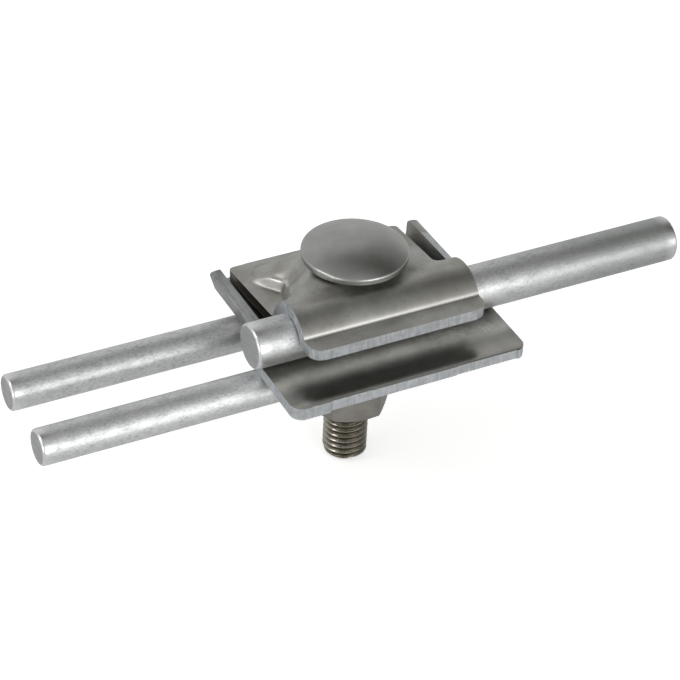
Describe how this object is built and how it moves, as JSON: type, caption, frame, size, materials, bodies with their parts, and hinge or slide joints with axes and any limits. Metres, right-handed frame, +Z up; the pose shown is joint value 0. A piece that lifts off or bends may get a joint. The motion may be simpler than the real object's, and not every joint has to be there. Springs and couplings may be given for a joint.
{
  "type": "air terminal rod clamp",
  "caption": "Rod clamp for lightning protection: pressed plates pulled together by one mushroom-head bolt grip an air terminal rod across parallel round conductors.",
  "frame": {"origin": "middle of the front conductor's left end face", "axes": "+X along the rods, from that end into the clamp; +Y to the rear conductor; +Z up along the bolt, towards its head"},
  "size_m": [0.149, 0.048, 0.0576],
  "materials": {
    "pressed_sheet": "satin stainless sheet with sheared edges",
    "bolt_steel": "satin stainless, cold formed",
    "nut_steel": "satin stainless",
    "spring_steel": "dull stainless",
    "rod_aluminium": "drawn, lightly scratched"
  },
  "bodies": {
    "clamp": {"top_plate": "pressed_sheet", "middle_plate": "pressed_sheet", "bottom_plate": "pressed_sheet", "bolt": "bolt_steel", "air_terminal_rod": "rod_aluminium", "conductor_front": "rod_aluminium", "conductor_rear": "rod_aluminium"},
    "spring_washer": {"spring_washer": "spring_steel"},
    "nut": {"nut": "nut_steel"}
  },
  "joints": [
    {"name": "nut_travel", "type": "slide", "parent": "clamp", "child": "spring_washer", "axis": [0, 0, -1], "range_m": [0, 0.009]},
    {"name": "nut_spin", "type": "hinge", "parent": "spring_washer", "child": "nut", "pos_m": [0.076, 0.0096, 0], "axis": [0, 0, -1], "range_deg": [0, 2160]}
  ],
  "couplings": [
    {"joint": "nut_travel", "follows": "nut_spin", "m_per_rad": 0.00023873}
  ]
}
